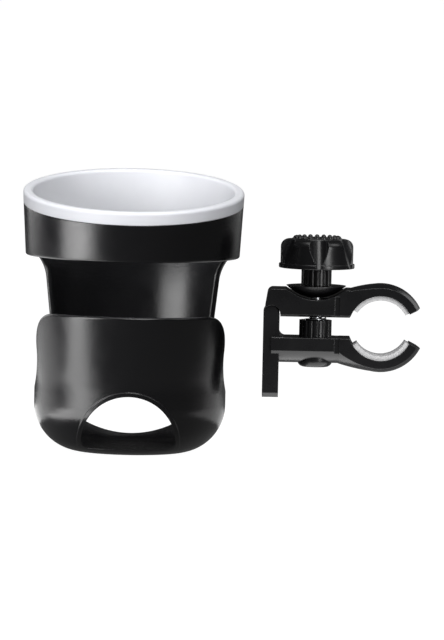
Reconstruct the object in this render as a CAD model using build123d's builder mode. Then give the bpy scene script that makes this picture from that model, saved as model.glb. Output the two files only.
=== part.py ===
from build123d import *
import math
import os

# A cup holder and the tube clamp that carries it, as two units of one product, lying apart.
# The origin is on the axis of the clamped tube, midway along the jaws. +X points away from the
# cup, +Y runs along the tube and +Z is up. Sizes are in millimetres.

# Cup holder: heights are above its underside, radii from its own axis.
cup_x = -113.2
base_z = -58.9
foot_fillet = 22.0
bowl_radius = 43.5
bowl_height = 32.0
bowl_blend = 60.0
band_foot = 88.9
band_foot_radius = 48.6
rim_height = 112.9
rim_radius = 50.0
rim_slant = 8.5
wall = 2.6
floor_thickness = 3.0
blank_height = 133.4
overlap = 1.0

# Window between the band and the front panel, seen from the side.
panel_top = 63.9
panel_corner = 16.5
spine_edge = 25.0
window_round = 19.0
window_round_height = 46.8
window_shoulder = 12.0
window_edge_round = 1.0

# Drain arch in the front of the bowl and the low opening behind it.
arch_radius = 21.4
arch_height = 6.6
arch_sill = 3.2
arch_corner = 4.0
lip_width = 1.9
lip_height = 0.7
rear_sill = 5.3
rear_curve = 43.0
rear_top = 21.5
rear_half_width = 24.0

# Liner: a soft ring that lines the band and stands above it.
liner_foot = 89.4
liner_wall = 1.7
liner_gap = 0.15
liner_stand = 6.0
liner_seat_gap = 0.1
liner_round = 1.5
plane_tolerance = 0.01

# Socket on the back of the cup. The tongue swings into it about the dock axis.
dock_offset = 5.0
socket_gap = 0.05
socket_inner = 54.7
socket_outer = 64.4
socket_wall = 3.0
socket_floor = 23.9
tongue_seat = 26.3
socket_wall_top = 40.8
boss_top = 62.8
socket_stop = 10.3
socket_mouth = 10.0
boss_face = 28.0
socket_screw_heights = (32.0, 50.0)
screw_radius = 2.0
screw_hole_fit = 0.1
screw_head_fit = 0.2
screw_head_radius = 3.4
screw_head_height = 1.5
screw_head_seat = 1.0
screw_length = 6.4

# Clamp frame: the upright tongue, the lower arm and the lower jaw.
tongue_face = -53.2
tongue_thickness = 7.3
tongue_half_width = 10.0
tongue_foot = -32.3
tongue_bevel = 2.0
half_width = 11.0
arm_top = -5.0
arm_edge = -10.9
arm_keel = -16.8
jaw_bore = 14.7
jaw_edge_radius = 18.4
upper_crown_radius = 20.0
lower_crown_radius = 20.5
jaw_root_angle = 150.0
jaw_tip_angle = 27.0
inner_corner_radius = 3.0
lower_arm_reach = 3.0
upper_arm_reach = 2.0
bolt_hole_fit = 0.4
groove_x = -19.8
groove_width = 2.2
groove_depth = 0.7
lower_groove_margin = 2.0
upper_groove_margin = 3.0

# Jaw roots: x, height of the edges and height of the crown, from the arm to the middle of the jaw.
root_inside = 5.5
upper_root = ((-15.5, 16.4, 16.9), (-8.0, 17.7, 19.0), (0.0, 18.4, 20.0))
lower_root = ((-19.0, 11.0, 16.9), (-12.6, 15.0, 18.6), (0.0, 18.4, 20.5))

# Rubber pads inside the jaws.
pad_radius = 12.7
pad_half_width = 10.2
pad_root_angle = 147.0
pad_tip_angle = 29.0

# Hinge between the frame and the upper jaw.
hinge_x = -49.6
hinge_z = 5.7
knuckle_radius = 3.6
knuckle_relief = 3.9
foot_relief = 0.4
lug_left = -52.1
lug_half_width = 5.7
lug_gap = 0.4
pin_radius = 1.5
pin_fit = 0.05
pin_blind_end = 8.5

# Upper jaw.
upper_left_foot = -52.9
upper_left_top = -51.1
upper_top = 17.0
upper_right = -13.9
upper_edge = 5.5
upper_keel = 4.0
upper_corner_radius = 2.5
keel_margin = 5.0
saddle_radius = 19.6
saddle_limit = 30.0
slot_back = 3.6
slot_front = 5.8

# Screw line.
screw_x = -29.5
bolt_radius = 3.0
bolt_foot = -15.5
bolt_top = 34.0
bolt_bevel = 0.6
running_fit = 0.3
nut_fit = 0.05
nut_flats = 10.0
nut_foot = -10.5
cap_radius = 8.0
cap_top = -12.2
cap_foot = -18.6
cap_cavity = 4.2
cap_round = 3.0
sleeve_radius = 7.4
sleeve_bore = 5.9
sleeve_top = 2.7
spring_radius = 4.5
spring_wire = 0.9
spring_turns = 6
spring_gap = 0.1
dish_radius = 13.6
dish_top = 18.4
dish_foot = 12.7
thrust_radius = 7.4
thrust_recess = 1.0
thrust_fit = 0.15
thrust_drop = 0.05
retainer_rise = 0.4
retainer_thickness = 0.6
retainer_radius = 4.4
retainer_groove = 0.5
retainer_fit = 0.1
retainer_mouth = 4.6
flute_radius = 0.9
flute_depth = 0.3
flutes = 18
collar_radius = 6.9
collar_foot = 18.45
knob_foot = 26.4
knob_top = 39.5
knob_radius = 16.5
flange_radius = 17.2
flange_top = 28.4
knob_round = 3.6
flange_round = 0.4
knob_wall = 5.0
knob_roof = 4.0
knob_hub_wall = 1.3
scallops = 6
scallop_radius = 5.2
scallop_depth = 4.0
scallop_foot = 29.2
scallop_turn = 3.0
cap_bumps = 20
bump_ring = 9.8
bump_radius = 1.15
knob_cap_radius = 11.6
knob_cap_seat = 38.3
knob_cap_rise = 0.4
knob_cap_bevel = 0.35

band_slope = (rim_radius - band_foot_radius) / (rim_height - band_foot)
blank_radius = band_foot_radius + band_slope * (blank_height - band_foot)
slant = math.radians(rim_slant)

cup_origin = (cup_x, 0, base_z)
cup_axis = Axis(cup_origin, (0, 0, 1))
cup_front = Plane(cup_origin, x_dir=(1, 0, 0), z_dir=(0, -1, 0))
cup_side = Plane(cup_origin, x_dir=(0, 1, 0), z_dir=(1, 0, 0))
tube_axis = Axis((0, 0, 0), (0, 1, 0))
screw_line = Axis((screw_x, 0, 0), (0, 0, 1))
screw_side = Plane((screw_x, 0, 0), x_dir=(1, 0, 0), z_dir=(0, -1, 0))


def slanted_plane(height):
    """The rim's slanted plane, high at the back, this far up the cup's axis."""
    return Plane((cup_x, 0, base_z + height), z_dir=(0, -math.sin(slant), math.cos(slant)))


def level(height):
    """A level plane on the screw's axis."""
    return Plane((screw_x, 0, height))


def band_radius(height):
    """The band's outer radius at a height."""
    return band_foot_radius + band_slope * (height - band_foot)


def cup_section(inset, floor):
    """Half section of the cup, inset from its outer face and closed off above the rim."""
    with BuildSketch(cup_front) as section:
        with BuildLine():
            Polyline(
                (0, floor),
                (bowl_radius - inset, floor),
                (bowl_radius - inset, bowl_height),
                (band_foot_radius - inset, band_foot),
                (blank_radius - inset, blank_height),
                (0, blank_height),
                close=True,
            )
        make_face()
        foot = section.vertices().group_by(Axis.Y)[0].sort_by(Axis.X)[-1]
        fillet(foot, foot_fillet - inset)
        bowl_brim = section.vertices().sort_by_distance((bowl_radius - inset, bowl_height))[0]
        fillet(bowl_brim, bowl_blend)
    return section.sketch


def arch_outline(margin):
    """The drain arch: a disc cut off at the sill, with rounded corners."""
    with BuildSketch(cup_front) as outline:
        with Locations((0, arch_height)):
            Circle(arch_radius + margin)
        with Locations((0, arch_sill - margin)):
            Rectangle(4 * arch_radius, 2 * arch_radius, align=(Align.CENTER, Align.MAX), mode=Mode.SUBTRACT)
        fillet(outline.vertices(), arch_corner)
    return outline.sketch


def ring_plane(angle):
    """The plane through the tube's axis at an angle, from +X towards +Z. Local x is the radius."""
    outward = Vector(math.cos(math.radians(angle)), 0, math.sin(math.radians(angle)))
    return Plane((0, 0, 0), x_dir=outward, z_dir=outward.cross(Vector(0, 1, 0)))


def jaw_ring(start_angle, crown_radius):
    """A jaw, crowned across its width, swept from its start angle down to its end."""
    with BuildSketch(ring_plane(start_angle)) as section:
        with BuildLine():
            Polyline(
                (jaw_edge_radius, half_width),
                (jaw_bore, half_width),
                (jaw_bore, -half_width),
                (jaw_edge_radius, -half_width),
            )
            ThreePointArc(
                (jaw_edge_radius, -half_width), (crown_radius, 0), (jaw_edge_radius, half_width)
            )
        make_face()
    revolve(section.sketch, axis=tube_axis, revolution_arc=jaw_root_angle - jaw_tip_angle)


def jaw_root(side, stations):
    """Thickens a jaw towards its arm. Each station is (x, edge height, crown height)."""
    sections = []
    for x, edge, crown in stations:
        with BuildSketch(Plane.YZ.offset(x)) as section:
            with BuildLine():
                Polyline(
                    (-half_width, side * edge),
                    (-half_width, side * root_inside),
                    (half_width, side * root_inside),
                    (half_width, side * edge),
                )
                ThreePointArc((half_width, side * edge), (0, side * crown), (-half_width, side * edge))
            make_face()
        sections.append(section.sketch)
    loft(sections=sections)


def pad_ring(start_angle):
    """A rubber pad, swept from its start angle down to its end."""
    with BuildSketch(ring_plane(start_angle)) as section:
        with Locations(((pad_radius + jaw_bore) / 2, 0)):
            Rectangle(jaw_bore - pad_radius, 2 * pad_half_width)
    revolve(section.sketch, axis=tube_axis, revolution_arc=pad_root_angle - pad_tip_angle)


def fluted_ring(radius, bore, foot, top):
    """An upright ring on the screw's axis with fine flutes round it."""
    with BuildSketch(level(foot)) as section:
        Circle(radius)
        Circle(bore, mode=Mode.SUBTRACT)
        with PolarLocations(radius + flute_radius - flute_depth, flutes):
            Circle(flute_radius, mode=Mode.SUBTRACT)
    extrude(section.sketch, amount=top - foot)


# Cup holder

# Raised lip round the drain arch.
with BuildPart() as arch_lip:
    revolve(cup_section(-lip_height, 0), axis=cup_axis)
    extrude(arch_outline(lip_width), amount=2 * rim_radius, mode=Mode.INTERSECT)

with BuildPart() as cup_shell:
    revolve(cup_section(0, 0), axis=cup_axis)
    add(arch_lip.part)
    split(bisect_by=slanted_plane(rim_height), keep=Keep.BOTTOM)
    revolve(cup_section(wall, floor_thickness), axis=cup_axis, mode=Mode.SUBTRACT)
    # Window, cut right across the cup in front of its spine.
    with BuildSketch(cup_side) as window:
        with Locations((spine_edge, panel_top)):
            Rectangle(3 * rim_radius, band_foot - panel_top, align=(Align.MAX, Align.MIN))
        with Locations((spine_edge - window_round, window_round_height)):
            Circle(window_round)
            Rectangle(2 * window_round, panel_top - window_round_height, align=(Align.CENTER, Align.MIN))
        shoulder = window.vertices().sort_by_distance((spine_edge, band_foot))[0]
        fillet(shoulder, window_shoulder)
        panel_end = window.vertices().sort_by_distance((spine_edge - 2 * window_round, panel_top))[0]
        fillet(panel_end, panel_corner)
    extrude(amount=2 * rim_radius, both=True, mode=Mode.SUBTRACT)
    fillet(cup_shell.edges(Select.LAST), window_edge_round)
    # Drain arch.
    extrude(arch_outline(0), amount=2 * rim_radius, mode=Mode.SUBTRACT)
    # Low opening in the back.
    with BuildSketch(cup_front) as rear_opening:
        with Locations((0, rear_sill + rear_curve)):
            Circle(rear_curve)
        Rectangle(2 * rear_half_width, 2 * rear_top, mode=Mode.INTERSECT)
        fillet(rear_opening.vertices(), arch_corner)
    extrude(amount=-2 * rim_radius, mode=Mode.SUBTRACT)
    # Screw holes to the socket, with flat seats for the heads inside.
    for height in socket_screw_heights:
        inner_face = bowl_radius - wall + screw_head_seat
        with BuildSketch(cup_front.offset(-inner_face)):
            with Locations((0, height)):
                Circle(screw_radius + screw_hole_fit)
        extrude(amount=-2 * wall, mode=Mode.SUBTRACT)
        with BuildSketch(cup_front.offset(-inner_face)):
            with Locations((0, height)):
                Circle(screw_head_radius + screw_head_fit)
        extrude(amount=2 * wall, mode=Mode.SUBTRACT)
cup_shell.part.label = "cup_shell"

# Rim of the liner, over the top of the band.
with BuildPart() as liner_rim:
    with BuildSketch(cup_front):
        with BuildLine():
            Polyline(
                (band_radius(band_foot) - wall - liner_gap - liner_wall, band_foot),
                (band_radius(band_foot), band_foot),
                (blank_radius, blank_height),
                (blank_radius - wall - liner_gap - liner_wall, blank_height),
                close=True,
            )
        make_face()
    revolve(axis=cup_axis)
    split(bisect_by=slanted_plane(rim_height + liner_seat_gap), keep=Keep.TOP)
    split(bisect_by=slanted_plane(rim_height + liner_stand), keep=Keep.BOTTOM)

with BuildPart() as rim_liner:
    with BuildSketch(cup_front):
        with BuildLine():
            Polyline(
                (band_radius(liner_foot) - wall - liner_gap - liner_wall, liner_foot),
                (band_radius(liner_foot) - wall - liner_gap, liner_foot),
                (blank_radius - wall - liner_gap, blank_height),
                (blank_radius - wall - liner_gap - liner_wall, blank_height),
                close=True,
            )
        make_face()
    revolve(axis=cup_axis)
    split(bisect_by=slanted_plane(rim_height + liner_stand / 2), keep=Keep.BOTTOM)
    add(liner_rim.part)
    brim_plane = slanted_plane(rim_height + liner_stand)
    brim_edges = rim_liner.edges().filter_by(
        lambda edge: abs(brim_plane.to_local_coords(edge.center()).Z) < plane_tolerance
    )
    fillet(brim_edges, liner_round)
rim_liner.part.label = "rim_liner"

# Socket: a boss on the cup's back, a floor, a stop and a curved outer wall round the tongue's path.
dock_centre = (dock_offset, -dock_offset)
socket_left = -socket_stop - socket_wall
with BuildPart() as rear_socket:
    with BuildSketch(Plane((cup_x, 0, base_z + socket_floor))) as boss:
        with Locations(dock_centre):
            Circle(socket_inner)
        with Locations(((socket_left + socket_mouth) / 2, rim_radius)):
            Rectangle(socket_mouth - socket_left, 2 * (rim_radius - boss_face), mode=Mode.INTERSECT)
    extrude(amount=boss_top - socket_floor)
    with BuildSketch(Plane((cup_x, 0, base_z + socket_floor))) as tray:
        with Locations(dock_centre):
            Circle(socket_outer + socket_wall)
            Circle(socket_inner - overlap, mode=Mode.SUBTRACT)
        with Locations(((socket_left + socket_mouth) / 2, rim_radius)):
            Rectangle(socket_mouth - socket_left, rim_radius, mode=Mode.INTERSECT)
    extrude(amount=socket_wall_top - socket_floor)
    with BuildSketch(Plane((cup_x, 0, base_z + tongue_seat))) as channel:
        with Locations(dock_centre):
            Circle(socket_outer)
            Circle(socket_inner, mode=Mode.SUBTRACT)
        with Locations((-socket_stop, rim_radius)):
            Rectangle(rim_radius, rim_radius, align=(Align.MIN, Align.CENTER), mode=Mode.INTERSECT)
    extrude(amount=boss_top, mode=Mode.SUBTRACT)
    revolve(cup_section(-socket_gap, 0), axis=cup_axis, mode=Mode.SUBTRACT)
    for height in socket_screw_heights:
        with BuildSketch(cup_front.offset(-bowl_radius + wall)):
            with Locations((0, height)):
                Circle(screw_radius)
        extrude(amount=-screw_length - overlap, mode=Mode.SUBTRACT)
rear_socket.part.label = "rear_socket"

with BuildPart() as socket_screws:
    for height in socket_screw_heights:
        with BuildSketch(cup_front.offset(-bowl_radius + wall - screw_head_seat)):
            with Locations((0, height)):
                Circle(screw_radius)
        extrude(amount=-screw_length)
        with BuildSketch(cup_front.offset(-bowl_radius + wall - screw_head_seat)):
            with Locations((0, height)):
                Circle(screw_head_radius)
        extrude(amount=screw_head_height)
socket_screws.part.label = "socket_screws"

# Clamp

with BuildPart() as clamp_frame:
    # Upright tongue with the hinge knuckle on its top.
    with BuildSketch(Plane.XZ):
        with Locations((tongue_face, tongue_foot)):
            Rectangle(tongue_thickness, hinge_z - tongue_foot, align=(Align.MIN, Align.MIN))
        with Locations((hinge_x, hinge_z)):
            Circle(knuckle_radius)
    extrude(amount=tongue_half_width, both=True)
    chamfer(clamp_frame.edges().group_by(Axis.Z)[0].filter_by(Axis.X), tongue_bevel)
    # Lower arm with a crowned underside.
    with BuildSketch(Plane.YZ.offset(tongue_face + tongue_thickness / 2)):
        with BuildLine():
            Polyline(
                (-half_width, arm_edge),
                (-half_width, arm_top),
                (half_width, arm_top),
                (half_width, arm_edge),
            )
            ThreePointArc((half_width, arm_edge), (0, arm_keel), (-half_width, arm_edge))
        make_face()
    extrude(amount=-jaw_bore + lower_arm_reach - tongue_face - tongue_thickness / 2)
    spine_face = tongue_face + tongue_thickness
    inner_corner = clamp_frame.edges().filter_by(Axis.Y).sort_by_distance((spine_face, 0, arm_top))[0]
    fillet(inner_corner, inner_corner_radius)
    # Lower jaw.
    jaw_ring(-jaw_tip_angle, lower_crown_radius)
    jaw_root(-1, lower_root)
    Cylinder(jaw_bore, 3 * half_width, rotation=(90, 0, 0), mode=Mode.SUBTRACT)
    # Gap for the upper jaw's lug between the two knuckle ears.
    with BuildSketch(Plane.XZ):
        with Locations((hinge_x, hinge_z - knuckle_radius - lug_gap)):
            Rectangle(3 * knuckle_radius, 3 * knuckle_radius, align=(Align.CENTER, Align.MIN))
    extrude(amount=lug_half_width + lug_gap / 2, both=True, mode=Mode.SUBTRACT)
    with BuildSketch(Plane.XZ.offset(pin_blind_end)):
        with Locations((hinge_x, hinge_z)):
            Circle(pin_radius)
    extrude(amount=-2 * half_width, mode=Mode.SUBTRACT)
    # Nut pocket from above, screw hole, and a seat for the cap from below.
    with BuildSketch(level(nut_foot)):
        RegularPolygon(nut_flats / 2, 6, major_radius=False)
    extrude(amount=arm_top - nut_foot, mode=Mode.SUBTRACT)
    with BuildSketch(level(cap_foot)):
        Circle(bolt_radius + bolt_hole_fit)
    extrude(amount=arm_top - cap_foot, mode=Mode.SUBTRACT)
    with BuildSketch(level(cap_top)):
        Circle(cap_radius)
    extrude(amount=cap_foot - cap_top, mode=Mode.SUBTRACT)
    # Grooves where the jaw grows out of the arm.
    for side in (-1, 1):
        with BuildSketch(Plane.XY.offset(arm_top)):
            with Locations((groove_x, side * half_width)):
                Rectangle(groove_width, 2 * groove_depth)
        extrude(amount=arm_keel + lower_groove_margin - arm_top, mode=Mode.SUBTRACT)
clamp_frame.part.label = "clamp_frame"

with BuildPart() as upper_jaw:
    # Arm outline, seen from the side.
    with BuildSketch(Plane.XZ) as arm:
        with BuildLine():
            Polyline(
                (upper_left_foot, hinge_z),
                (upper_left_top, upper_top),
                (upper_right, upper_top),
                (-jaw_bore + upper_arm_reach, upper_keel),
                (hinge_x, upper_keel),
                close=True,
            )
        make_face()
        fillet(arm.vertices().group_by(Axis.Y)[-1].sort_by(Axis.X)[0], upper_corner_radius)
    extrude(amount=half_width, both=True)
    # Crowned underside.
    with BuildSketch(Plane.YZ.offset(upper_left_foot - keel_margin)):
        with BuildLine():
            Polyline(
                (-half_width, upper_edge),
                (-half_width, 2 * upper_top),
                (half_width, 2 * upper_top),
                (half_width, upper_edge),
            )
            ThreePointArc((half_width, upper_edge), (0, upper_keel), (-half_width, upper_edge))
        make_face()
    extrude(amount=-upper_left_foot + jaw_bore, mode=Mode.INTERSECT)
    # Saddle for the dish: a round hollow that opens out at a steady slope.
    dish_sphere = (dish_radius**2 + (dish_top - dish_foot) ** 2) / (2 * (dish_top - dish_foot))
    saddle_z = dish_foot + dish_sphere
    limit = math.radians(saddle_limit)
    flank = (saddle_radius * math.sin(limit), saddle_z - saddle_radius * math.cos(limit))
    brim = (flank[0] + (saddle_z - flank[1]) / math.tan(limit), saddle_z)
    with BuildSketch(screw_side):
        with BuildLine():
            ThreePointArc((-flank[0], flank[1]), (0, saddle_z - saddle_radius), flank)
            Polyline(flank, brim, (-brim[0], brim[1]), (-flank[0], flank[1]))
        make_face()
    extrude(amount=2 * half_width, both=True, mode=Mode.SUBTRACT)
    # Upper jaw.
    jaw_ring(jaw_root_angle, upper_crown_radius)
    jaw_root(1, upper_root)
    Cylinder(jaw_bore, 3 * half_width, rotation=(90, 0, 0), mode=Mode.SUBTRACT)
    # Round clearance for the knuckle ears, then the lug between them.
    with BuildSketch(Plane.XZ):
        with Locations((hinge_x, hinge_z)):
            Circle(knuckle_relief)
            foot_reach = tongue_face + tongue_thickness + foot_relief - hinge_x
            Rectangle(foot_reach, knuckle_relief, align=(Align.MIN, Align.MAX))
    extrude(amount=2 * half_width, both=True, mode=Mode.SUBTRACT)
    with BuildSketch(Plane.XZ):
        with Locations((hinge_x, hinge_z)):
            Circle(knuckle_radius)
        with Locations((lug_left, hinge_z)):
            lug_reach = hinge_x + knuckle_radius - lug_left
            Rectangle(lug_reach, knuckle_relief + overlap, align=(Align.MIN, Align.MIN))
    extrude(amount=lug_half_width, both=True)
    with BuildSketch(Plane.XZ):
        with Locations((hinge_x, hinge_z)):
            Circle(pin_radius + pin_fit)
    extrude(amount=2 * half_width, both=True, mode=Mode.SUBTRACT)
    # Slot for the screw, longer towards the tube, so that the arm can tilt.
    with BuildSketch(Plane.XY):
        with Locations((screw_x + (slot_front - slot_back) / 2, 0)):
            SlotOverall(slot_front + slot_back, 2 * slot_back)
    extrude(amount=2 * upper_top, mode=Mode.SUBTRACT)
    for side in (-1, 1):
        with BuildSketch(Plane.XY):
            with Locations((groove_x, side * half_width)):
                Rectangle(groove_width, 2 * groove_depth)
        extrude(amount=upper_top - upper_groove_margin, mode=Mode.SUBTRACT)
upper_jaw.part.label = "upper_jaw"

with BuildPart() as lower_jaw_pad:
    pad_ring(-pad_tip_angle)
lower_jaw_pad.part.label = "lower_jaw_pad"

with BuildPart() as upper_jaw_pad:
    pad_ring(pad_root_angle)
upper_jaw_pad.part.label = "upper_jaw_pad"

# The pin goes in from the far side and stops short of the near one.
with BuildPart() as hinge_pin:
    with BuildSketch(Plane.XZ.offset(pin_blind_end)):
        with Locations((hinge_x, hinge_z)):
            Circle(pin_radius)
    extrude(amount=-pin_blind_end - tongue_half_width)
hinge_pin.part.label = "hinge_pin"

with BuildPart() as lock_nut:
    with BuildSketch(level(nut_foot)):
        RegularPolygon(nut_flats / 2, 6, major_radius=False)
        Circle(bolt_radius + nut_fit, mode=Mode.SUBTRACT)
    extrude(amount=arm_top - nut_foot)
lock_nut.part.label = "lock_nut"

with BuildPart() as nut_cap:
    with BuildSketch(level(cap_top)):
        Circle(cap_radius)
    extrude(amount=cap_foot - cap_top)
    fillet(nut_cap.edges().group_by(Axis.Z)[0], cap_round)
    with BuildSketch(level(cap_top)):
        Circle(cap_cavity)
    extrude(amount=cap_foot - cap_top + overlap, mode=Mode.SUBTRACT)
nut_cap.part.label = "nut_cap"

with BuildPart() as spacer_sleeve:
    fluted_ring(sleeve_radius, sleeve_bore, arm_top, sleeve_top)
spacer_sleeve.part.label = "spacer_sleeve"

spring_height = upper_keel - arm_top - spring_wire - 2 * spring_gap
with BuildPart() as return_spring:
    with BuildLine(level(arm_top + spring_wire / 2 + spring_gap)) as coil:
        Helix(spring_height / spring_turns, spring_height, spring_radius)
    with BuildSketch(Plane(coil.line @ 0, z_dir=coil.line % 0)):
        Circle(spring_wire / 2)
    sweep(path=coil.line, is_frenet=True)
return_spring.part.label = "return_spring"

# Dish washer: round-bottomed, with recesses for the thrust washer above and the clip below.
with BuildPart() as dome_washer:
    with BuildSketch(screw_side):
        with BuildLine():
            ThreePointArc(
                (0, dish_foot),
                (dish_sphere * math.sin(limit / 2), dish_foot + dish_sphere * (1 - math.cos(limit / 2))),
                (dish_radius, dish_top),
            )
            Polyline((dish_radius, dish_top), (0, dish_top), (0, dish_foot))
        make_face()
    revolve(axis=screw_line)
    with BuildSketch(level(0)):
        Circle(bolt_radius + running_fit)
    extrude(amount=dish_top + overlap, mode=Mode.SUBTRACT)
    with BuildSketch(level(dish_top)):
        Circle(thrust_radius + thrust_fit)
    extrude(amount=-thrust_recess, mode=Mode.SUBTRACT)
    with BuildSketch(level(dish_foot - overlap)):
        Circle(retainer_radius + running_fit)
    extrude(amount=overlap + retainer_rise + retainer_thickness + retainer_fit, mode=Mode.SUBTRACT)
dome_washer.part.label = "dome_washer"

with BuildPart() as thrust_washer:
    with BuildSketch(level(dish_top - thrust_recess)):
        Circle(thrust_radius)
        Circle(bolt_radius + running_fit, mode=Mode.SUBTRACT)
    extrude(amount=thrust_recess - thrust_drop)
thrust_washer.part.label = "thrust_washer"

with BuildPart() as knob_collar:
    fluted_ring(collar_radius, bolt_radius, collar_foot, knob_foot)
knob_collar.part.label = "knob_collar"

with BuildPart() as clamp_screw:
    with BuildSketch(level(bolt_foot)):
        Circle(bolt_radius)
    extrude(amount=bolt_top - bolt_foot)
    chamfer(clamp_screw.edges().group_by(Axis.Z)[0], bolt_bevel)
    with BuildSketch(level(dish_foot + retainer_rise)):
        Circle(bolt_radius + retainer_fit)
        Circle(bolt_radius - retainer_groove, mode=Mode.SUBTRACT)
    extrude(amount=retainer_thickness, mode=Mode.SUBTRACT)
clamp_screw.part.label = "clamp_screw"

with BuildPart() as retaining_clip:
    with BuildSketch(level(dish_foot + retainer_rise)):
        Circle(retainer_radius)
        Circle(bolt_radius - retainer_groove, mode=Mode.SUBTRACT)
        with Locations((0, -retainer_radius)):
            Rectangle(retainer_mouth, 2 * retainer_radius, mode=Mode.SUBTRACT)
    extrude(amount=retainer_thickness)
retaining_clip.part.label = "retaining_clip"

# One finger scallop: a leaning cylinder, deep at the knob's top and running out near its foot.
lean = math.atan2(scallop_depth, knob_top - scallop_foot)
with BuildPart() as scallop:
    foot_centre = (knob_radius + scallop_radius, 0, scallop_foot)
    with BuildSketch(Plane(foot_centre, z_dir=(-math.sin(lean), 0, math.cos(lean)))):
        Circle(scallop_radius)
    extrude(amount=knob_top, both=True)

with BuildPart() as knob:
    with BuildSketch(level(knob_foot)):
        Circle(knob_radius)
    extrude(amount=knob_top - knob_foot)
    fillet(knob.edges().group_by(Axis.Z)[-1], knob_round)
    with BuildSketch(level(knob_foot)):
        Circle(flange_radius)
    extrude(amount=flange_top - knob_foot)
    fillet(knob.edges().filter_by(GeomType.CIRCLE).sort_by(SortBy.RADIUS)[-2:], flange_round)
    for index in range(scallops):
        turn = scallop_turn - 90 + 360 * index / scallops
        add(Pos(screw_x, 0, 0) * Rot(0, 0, turn) * scallop.part, mode=Mode.SUBTRACT)
    # Hollow underside, screw hole and seat for the cap.
    with BuildSketch(level(knob_foot)):
        Circle(knob_radius - knob_wall)
        Circle(collar_radius + knob_hub_wall, mode=Mode.SUBTRACT)
    extrude(amount=knob_top - knob_foot - knob_roof, mode=Mode.SUBTRACT)
    with BuildSketch(level(knob_foot)):
        Circle(bolt_radius)
    extrude(amount=bolt_top - knob_foot, mode=Mode.SUBTRACT)
    with BuildSketch(level(knob_cap_seat)):
        Circle(knob_cap_radius)
    extrude(amount=knob_top - knob_cap_seat + overlap, mode=Mode.SUBTRACT)
knob.part.label = "knob"

with BuildPart() as knob_cap:
    with BuildSketch(level(knob_cap_seat)):
        Circle(knob_cap_radius)
    extrude(amount=knob_top + knob_cap_rise - knob_cap_seat)
    chamfer(knob_cap.edges().group_by(Axis.Z)[-1], knob_cap_bevel)
    with Locations((screw_x, 0, knob_top + knob_cap_rise)):
        with PolarLocations(bump_ring, cap_bumps):
            Sphere(bump_radius)
knob_cap.part.label = "knob_cap"

sub_parts = [
    cup_shell,
    rim_liner,
    rear_socket,
    socket_screws,
    clamp_frame,
    lower_jaw_pad,
    spacer_sleeve,
    lock_nut,
    nut_cap,
    hinge_pin,
    return_spring,
    upper_jaw,
    upper_jaw_pad,
    dome_washer,
    thrust_washer,
    knob,
    knob_cap,
    knob_collar,
    clamp_screw,
    retaining_clip,
]
os.makedirs("parts", exist_ok=True)
for sub_part in sub_parts:
    export_step(sub_part.part, f"parts/{sub_part.part.label}.step")
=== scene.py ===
import math

import bpy
from mathutils import Matrix, Vector


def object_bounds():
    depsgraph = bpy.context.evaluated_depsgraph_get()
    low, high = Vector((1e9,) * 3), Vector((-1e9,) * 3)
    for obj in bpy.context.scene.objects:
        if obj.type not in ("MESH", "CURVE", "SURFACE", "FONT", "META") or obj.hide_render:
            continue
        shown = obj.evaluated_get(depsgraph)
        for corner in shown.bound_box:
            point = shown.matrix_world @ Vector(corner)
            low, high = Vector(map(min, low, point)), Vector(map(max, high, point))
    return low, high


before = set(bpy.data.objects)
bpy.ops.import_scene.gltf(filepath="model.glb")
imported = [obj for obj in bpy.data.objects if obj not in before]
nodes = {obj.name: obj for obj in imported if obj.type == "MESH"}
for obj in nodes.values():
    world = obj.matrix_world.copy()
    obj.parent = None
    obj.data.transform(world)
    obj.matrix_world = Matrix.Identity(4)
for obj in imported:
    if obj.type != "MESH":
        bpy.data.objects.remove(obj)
cad_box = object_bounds()

MM = 0.001
WHITE = (1, 1, 1, 1)
BLACK_HOLDER = (0.004, 0.004, 0.0045)
BLACK_CLAMP = (0.005, 0.005, 0.0055)
ZINC = (0.62, 0.63, 0.65)

# Camera: a long lens, slightly above, looking along +Y.
VIEW_CENTRE = Vector((-72.0, 0.0, 1.7)) * MM
VIEW_WIDTH = 201.8 * MM
CAMERA_DISTANCE = 4.0
CAMERA_RISE = math.radians(4.0)
CAMERA_ROLL = math.radians(1.2)
SENSOR_WIDTH_MM = 36.0
CLIP_END = 20.0

# Stage. Backdrop and floor look full white and give off far less light than that. The floor's own
# glow falls from NEAR_GLOW to FAR_GLOW between two distances, in metres, from the frame's origin.
BACKDROP_GLOW = 0.03
FLOOR_SIZE = 30
FLOOR_GAP = 0.02 * MM
FLOOR_GREY = (0.10, 0.10, 0.10)
FLOOR_ROUGHNESS = 0.9
BOUNCE_NEAR = 0.12
BOUNCE_FAR = 0.35
NEAR_GLOW = 0.12
FAR_GLOW = 0.02

# What the lights reach. CUP_X is the cup's axis, which the floor cards are set out from.
LINER_NODES = ["rim_liner"]
CUP_NODES = ["cup_shell", "rear_socket"]
CLAMP_NODES = [name for name in nodes if name not in CUP_NODES + LINER_NODES]
CUP_X = -113.2 * MM
CARD_RISE = 1.0 * MM

# Materials. Wear starts and is full where a rounded normal and the surface's own have these cosines.
PLASTIC_SPECULAR = 0.4
RUBBED_GAIN = 3.2
RUBBED_LIFT = 0.006
EDGE_SAMPLES = 6
WEAR_SAMPLES = 4
WEAR_STARTS = 0.99
WEAR_IS_FULL = 0.85
NOISE_LOW = 0.3
NOISE_HIGH = 0.7
TURNING_STRETCH = 30


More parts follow.
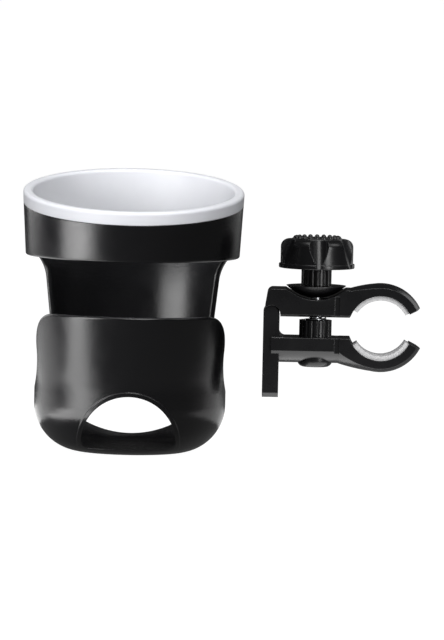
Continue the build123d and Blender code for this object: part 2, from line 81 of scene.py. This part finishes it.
def add_camera():
    """Adds the camera. The picture is VIEW_WIDTH wide at VIEW_CENTRE."""
    data = bpy.data.cameras.new("camera")
    camera = bpy.data.objects.new("camera", data)
    bpy.context.scene.collection.objects.link(camera)
    away = Vector((0, -math.cos(CAMERA_RISE), math.sin(CAMERA_RISE)))
    camera.location = VIEW_CENTRE + away * CAMERA_DISTANCE
    look = (-away).to_track_quat("-Z", "Y").to_matrix().to_4x4()
    camera.rotation_euler = (look @ Matrix.Rotation(CAMERA_ROLL, 4, "Z")).to_euler()
    data.sensor_fit = "HORIZONTAL"
    data.sensor_width = SENSOR_WIDTH_MM
    data.lens = data.sensor_width * CAMERA_DISTANCE / VIEW_WIDTH
    data.clip_end = CLIP_END
    bpy.context.scene.camera = camera


def rectangle_light(name, width, height, power):
    """A rectangular area light, not placed yet. Sizes are in metres and power is in watts."""
    data = bpy.data.lights.new(name, "AREA")
    data.shape = "RECTANGLE"
    data.size = width
    data.size_y = height
    data.energy = power
    light = bpy.data.objects.new(name, data)
    bpy.context.scene.collection.objects.link(light)
    return light


def area_light(name, azimuth, rise, distance, width, height, power):
    """A softbox aimed at the object. Azimuth and rise are in degrees.

    Azimuth 0 is the viewer's side, and positive is to the right.
    """
    light = rectangle_light(name, width, height, power)
    turn = math.radians(azimuth)
    lift = math.radians(rise)
    outward = Vector(
        (math.sin(turn) * math.cos(lift), -math.cos(turn) * math.cos(lift), math.sin(lift))
    )
    light.location = VIEW_CENTRE + outward * distance
    light.rotation_euler = (-outward).to_track_quat("-Z", "Y").to_euler()
    return light


def floor_card(name, azimuth, near, far, width, power):
    """A card that glows up from the floor, between two distances from the cup's axis.

    The walls that lean over mirror the floor, so the softboxes' highlights go on in these cards.
    """
    card = rectangle_light(name, width, far - near, power)
    turn = math.radians(azimuth)
    middle = (near + far) / 2
    card.location = (
        CUP_X + middle * math.sin(turn),
        -middle * math.cos(turn),
        cad_box[0].z + CARD_RISE,
    )
    card.rotation_euler = (math.pi, 0, turn)
    return card


def shine_on(name, receivers, lights):
    """Links lights to the nodes they reach."""
    group = bpy.data.collections.new(name)
    for receiver in receivers:
        group.objects.link(nodes[receiver])
    for light in lights:
        light.light_linking.receiver_collection = group


def white_to_camera(tree, strength):
    """Makes a glow full white when seen directly. Returns the socket for its strength as a light."""
    paths = tree.nodes.new("ShaderNodeLightPath")
    glow = tree.nodes.new("ShaderNodeMapRange")
    glow.inputs["To Max"].default_value = 1.0
    tree.links.new(paths.outputs["Is Camera Ray"], glow.inputs["Value"])
    tree.links.new(glow.outputs["Result"], strength)
    return glow.inputs["To Min"]


def set_backdrop():
    """A white backdrop that gives little light."""
    scene = bpy.context.scene
    scene.view_settings.view_transform = "Standard"
    world = bpy.data.worlds.new("studio")
    world.use_nodes = True
    tree = world.node_tree
    backdrop = tree.nodes["Background"]
    backdrop.inputs["Color"].default_value = WHITE
    white_to_camera(tree, backdrop.inputs["Strength"]).default_value = BACKDROP_GLOW
    scene.world = world


def set_lights():
    """Softboxes and floor cards. The two units were lit apart, so most lights reach one unit only.

    A softbox's numbers are azimuth, rise, distance, width, height and power. A floor card's are
    azimuth, near, far, width and power.
    """
    shine_on(
        "cup_lights",
        CUP_NODES,
        [
            area_light("key_left", -54, 4, 1.0, 0.55, 1.5, 20),
            floor_card("card_far_left", -60, 0.42, 0.85, 0.35, 6.6),
            floor_card("card_near_left", -60, 0.07, 0.40, 0.10, 0.65),
            floor_card("card_back_left", -115, 0.07, 0.50, 0.25, 0.6),
            floor_card("card_back_right", 118, 0.07, 0.50, 0.20, 0.25),
        ],
    )
    shine_on(
        "clamp_lights",
        CLAMP_NODES,
        [
            area_light("glint_right", 38, 8, 1.0, 0.20, 0.6, 5),
            floor_card("card_under_clamp", 72, 0.055, 0.165, 0.10, 0.09),
        ],
    )
    shine_on(
        "liner_lights",
        LINER_NODES,
        [area_light("box_left", -40, 4, 1.4, 0.6, 0.5, 17)],
    )
    shine_on(
        "plastic_lights",
        CUP_NODES + CLAMP_NODES,
        [
            area_light("side_left", -125, 8, 1.2, 0.7, 1.3, 9),
            area_light("side_right", 138, 8, 1.2, 0.8, 1.2, 2.4),
        ],
    )
    area_light("box_top", 0, 76, 1.0, 0.7, 0.7, 4)
    area_light("box_front", 10, 50, 1.4, 0.6, 0.6, 10)
    area_light("box_right", 75, 48, 1.4, 0.6, 0.6, 3)


def set_floor():
    """A white floor. It throws a little light back up near the object, and less further off."""
    floor_z = cad_box[0].z - FLOOR_GAP
    bpy.ops.mesh.primitive_plane_add(size=FLOOR_SIZE, location=(0, 0, floor_z))
    floor = bpy.context.object
    floor.name = "floor"
    material, shader = new_material("floor_white", FLOOR_GREY, FLOOR_ROUGHNESS)
    shader.inputs["Emission Color"].default_value = WHITE
    tree = material.node_tree
    place = tree.nodes.new("ShaderNodeTexCoord")
    reach = tree.nodes.new("ShaderNodeVectorMath")
    reach.operation = "LENGTH"
    tree.links.new(place.outputs["Object"], reach.inputs[0])
    bounce = tree.nodes.new("ShaderNodeMapRange")
    bounce.inputs["From Min"].default_value = BOUNCE_NEAR
    bounce.inputs["From Max"].default_value = BOUNCE_FAR
    bounce.inputs["To Min"].default_value = NEAR_GLOW
    bounce.inputs["To Max"].default_value = FAR_GLOW
    tree.links.new(reach.outputs["Value"], bounce.inputs["Value"])
    light_strength = white_to_camera(tree, shader.inputs["Emission Strength"])
    tree.links.new(bounce.outputs["Result"], light_strength)
    floor.data.materials.append(material)


def new_material(name, colour, roughness):
    """A material with a Principled shader of a plain colour and roughness, and that shader."""
    material = bpy.data.materials.new(name)
    material.use_nodes = True
    shader = material.node_tree.nodes["Principled BSDF"]
    shader.inputs["Base Color"].default_value = (*colour, 1)
    shader.inputs["Roughness"].default_value = roughness
    return material, shader


def noise(tree, coords, scale, detail=2.0, rough=0.5):
    """A noise texture in object coordinates. Scale is in cells per metre."""
    node = tree.nodes.new("ShaderNodeTexNoise")
    node.inputs["Scale"].default_value = scale
    node.inputs["Detail"].default_value = detail
    node.inputs["Roughness"].default_value = rough
    tree.links.new(coords, node.inputs["Vector"])
    return node.outputs["Fac"]


def span(tree, value, low, high):
    """Spreads the middle of a noise value over the range low to high."""
    node = tree.nodes.new("ShaderNodeMapRange")
    node.inputs["From Min"].default_value = NOISE_LOW
    node.inputs["From Max"].default_value = NOISE_HIGH
    node.inputs["To Min"].default_value = low
    node.inputs["To Max"].default_value = high
    tree.links.new(value, node.inputs["Value"])
    return node.outputs["Result"]


def tint(tree, value, dark, light):
    """Mixes two colours by a 0 to 1 value."""
    node = tree.nodes.new("ShaderNodeMix")
    node.data_type = "RGBA"
    node.inputs["A"].default_value = (*dark, 1)
    node.inputs["B"].default_value = (*light, 1)
    tree.links.new(value, node.inputs["Factor"])
    return node.outputs["Result"]


def bump(tree, height, strength, distance, normal=None):
    """Bends the normal by a height, on top of another bent normal if one is given."""
    node = tree.nodes.new("ShaderNodeBump")
    node.inputs["Strength"].default_value = strength
    node.inputs["Distance"].default_value = distance
    tree.links.new(height, node.inputs["Height"])
    if normal is not None:
        tree.links.new(normal, node.inputs["Normal"])
    return node.outputs["Normal"]


def soft_edge(tree, radius):
    """Rounds the look of hard edges by a small radius."""
    node = tree.nodes.new("ShaderNodeBevel")
    node.samples = EDGE_SAMPLES
    node.inputs["Radius"].default_value = radius
    return node.outputs["Normal"]


def edge_wear(tree, radius):
    """0 on flats, rising to 1 near edges, where the rounded normal leaves the surface's own."""
    bevel = tree.nodes.new("ShaderNodeBevel")
    bevel.samples = WEAR_SAMPLES
    bevel.inputs["Radius"].default_value = radius
    geometry = tree.nodes.new("ShaderNodeNewGeometry")
    dot = tree.nodes.new("ShaderNodeVectorMath")
    dot.operation = "DOT_PRODUCT"
    tree.links.new(bevel.outputs["Normal"], dot.inputs[0])
    tree.links.new(geometry.outputs["Normal"], dot.inputs[1])
    ramp = tree.nodes.new("ShaderNodeMapRange")
    ramp.inputs["From Min"].default_value = WEAR_STARTS
    ramp.inputs["From Max"].default_value = WEAR_IS_FULL
    tree.links.new(dot.outputs["Value"], ramp.inputs["Value"])
    return ramp.outputs["Result"]


def object_coords(tree):
    """Coordinates that stay with the piece."""
    return tree.nodes.new("ShaderNodeTexCoord").outputs["Object"]


def moulded_plastic(name, colour, rough_low, rough_high, grain_scale, grain_strength, edge_radius):
    """Black moulded plastic: a fine grain, slow changes of gloss, a slight wave and paler edges."""
    material, shader = new_material(name, colour, rough_low)
    shader.inputs["Specular IOR Level"].default_value = PLASTIC_SPECULAR
    tree = material.node_tree
    coords = object_coords(tree)
    paler = tuple(channel * RUBBED_GAIN + RUBBED_LIFT for channel in colour)
    rubbed = tint(tree, edge_wear(tree, edge_radius), colour, paler)
    tree.links.new(rubbed, shader.inputs["Base Color"])
    gloss_change = noise(tree, coords, scale=90, detail=3)
    tree.links.new(span(tree, gloss_change, rough_low, rough_high), shader.inputs["Roughness"])
    grain_height = noise(tree, coords, grain_scale, detail=3, rough=0.6)
    edges = soft_edge(tree, edge_radius)
    grain = bump(tree, grain_height, grain_strength, distance=0.05 * MM, normal=edges)
    wave_height = noise(tree, coords, scale=160, detail=1)
    waves = bump(tree, wave_height, strength=0.05, distance=0.2 * MM, normal=grain)
    tree.links.new(waves, shader.inputs["Normal"])
    return material


def silicone(name):
    """Light, slightly translucent silicone with a dusty matt skin."""
    material, shader = new_material(name, (0.77, 0.78, 0.82), 0.5)
    tree = material.node_tree
    coords = object_coords(tree)
    mottle = noise(tree, coords, scale=60, detail=4)
    milky = tint(tree, mottle, (0.73, 0.74, 0.785), (0.80, 0.81, 0.845))
    tree.links.new(milky, shader.inputs["Base Color"])
    dust = noise(tree, coords, scale=200, detail=3)
    tree.links.new(span(tree, dust, 0.42, 0.56), shader.inputs["Roughness"])
    shader.inputs["Subsurface Weight"].default_value = 0.35
    shader.inputs["Subsurface Radius"].default_value = (1.0, 0.95, 1.0)
    shader.inputs["Subsurface Scale"].default_value = 2.0 * MM
    pores = noise(tree, coords, scale=2600, detail=2)
    edges = soft_edge(tree, radius=0.4 * MM)
    skin = bump(tree, pores, strength=0.12, distance=0.03 * MM, normal=edges)
    tree.links.new(skin, shader.inputs["Normal"])
    return material


def pad_rubber(name):
    """Grey rubber with fine ribs across the jaw and a pebbled skin."""
    material, shader = new_material(name, (0.5, 0.5, 0.5), 0.6)
    tree = material.node_tree
    coords = object_coords(tree)
    mottle = noise(tree, coords, scale=700, detail=3)
    speckled = tint(tree, mottle, (0.36, 0.36, 0.37), (0.66, 0.66, 0.66))
    tree.links.new(speckled, shader.inputs["Base Color"])
    dust = noise(tree, coords, scale=400, detail=2)
    tree.links.new(span(tree, dust, 0.5, 0.75), shader.inputs["Roughness"])
    wave = tree.nodes.new("ShaderNodeTexWave")
    wave.bands_direction = "Y"
    wave.inputs["Scale"].default_value = 160
    wave.inputs["Distortion"].default_value = 0.6
    tree.links.new(coords, wave.inputs["Vector"])
    ribs = bump(tree, wave.outputs["Fac"], strength=0.5, distance=0.15 * MM)
    pebbles = noise(tree, coords, scale=1500, detail=2)
    skin = bump(tree, pebbles, strength=0.35, distance=0.1 * MM, normal=ribs)
    tree.links.new(skin, shader.inputs["Normal"])
    return material


def metal(name, colour, roughness):
    """Zinc-plated steel with fine turning marks."""
    material, shader = new_material(name, colour, roughness)
    shader.inputs["Metallic"].default_value = 1.0
    tree = material.node_tree
    coords = object_coords(tree)
    stretch = tree.nodes.new("ShaderNodeMapping")
    stretch.inputs["Scale"].default_value = (1, 1, TURNING_STRETCH)
    tree.links.new(coords, stretch.inputs["Vector"])
    marks = noise(tree, stretch.outputs["Vector"], scale=220, detail=3)
    dull = tuple(channel * 0.8 for channel in colour)
    bloom = noise(tree, coords, scale=500, detail=2)
    tree.links.new(tint(tree, bloom, dull, colour), shader.inputs["Base Color"])
    tree.links.new(span(tree, marks, roughness * 0.8, roughness * 1.3), shader.inputs["Roughness"])
    edges = soft_edge(tree, radius=0.2 * MM)
    turned = bump(tree, marks, strength=0.15, distance=0.02 * MM, normal=edges)
    tree.links.new(turned, shader.inputs["Normal"])
    return material


def nylon(name):
    """Natural nylon, matt and faintly cloudy."""
    material, shader = new_material(name, (0.62, 0.6, 0.55), 0.5)
    tree = material.node_tree
    coords = object_coords(tree)
    cloud = noise(tree, coords, scale=400, detail=3)
    cloudy = tint(tree, cloud, (0.55, 0.53, 0.48), (0.7, 0.68, 0.63))
    tree.links.new(cloudy, shader.inputs["Base Color"])
    grit = noise(tree, coords, scale=2500, detail=2)
    tree.links.new(bump(tree, grit, strength=0.1, distance=0.02 * MM), shader.inputs["Normal"])
    return material


def dress(names, material):
    """Gives CAD nodes their material."""
    for name in names:
        mesh = nodes[name].data
        mesh.materials.clear()
        mesh.materials.append(material)


add_camera()
set_backdrop()
set_lights()
set_floor()

holder = moulded_plastic("holder_plastic", BLACK_HOLDER, 0.19, 0.27, 1100, 1.0, 0.6 * MM)
satin = moulded_plastic("clamp_plastic", BLACK_CLAMP, 0.24, 0.33, 2600, 0.2, 0.4 * MM)
gloss = moulded_plastic("gloss_plastic", BLACK_CLAMP, 0.24, 0.30, 2600, 0.08, 0.4 * MM)
steel = metal("zinc_steel", ZINC, 0.28)

dress(CUP_NODES, holder)
dress(LINER_NODES, silicone("liner_silicone"))
dress(["clamp_frame", "upper_jaw", "spacer_sleeve", "dome_washer", "knob_collar"], satin)
dress(["knob", "knob_cap", "nut_cap"], gloss)
dress(["upper_jaw_pad", "lower_jaw_pad"], pad_rubber("pad_rubber"))
dress(
    ["socket_screws", "lock_nut", "hinge_pin", "return_spring", "clamp_screw", "retaining_clip"],
    steel,
)
dress(["thrust_washer"], nylon("slip_nylon"))
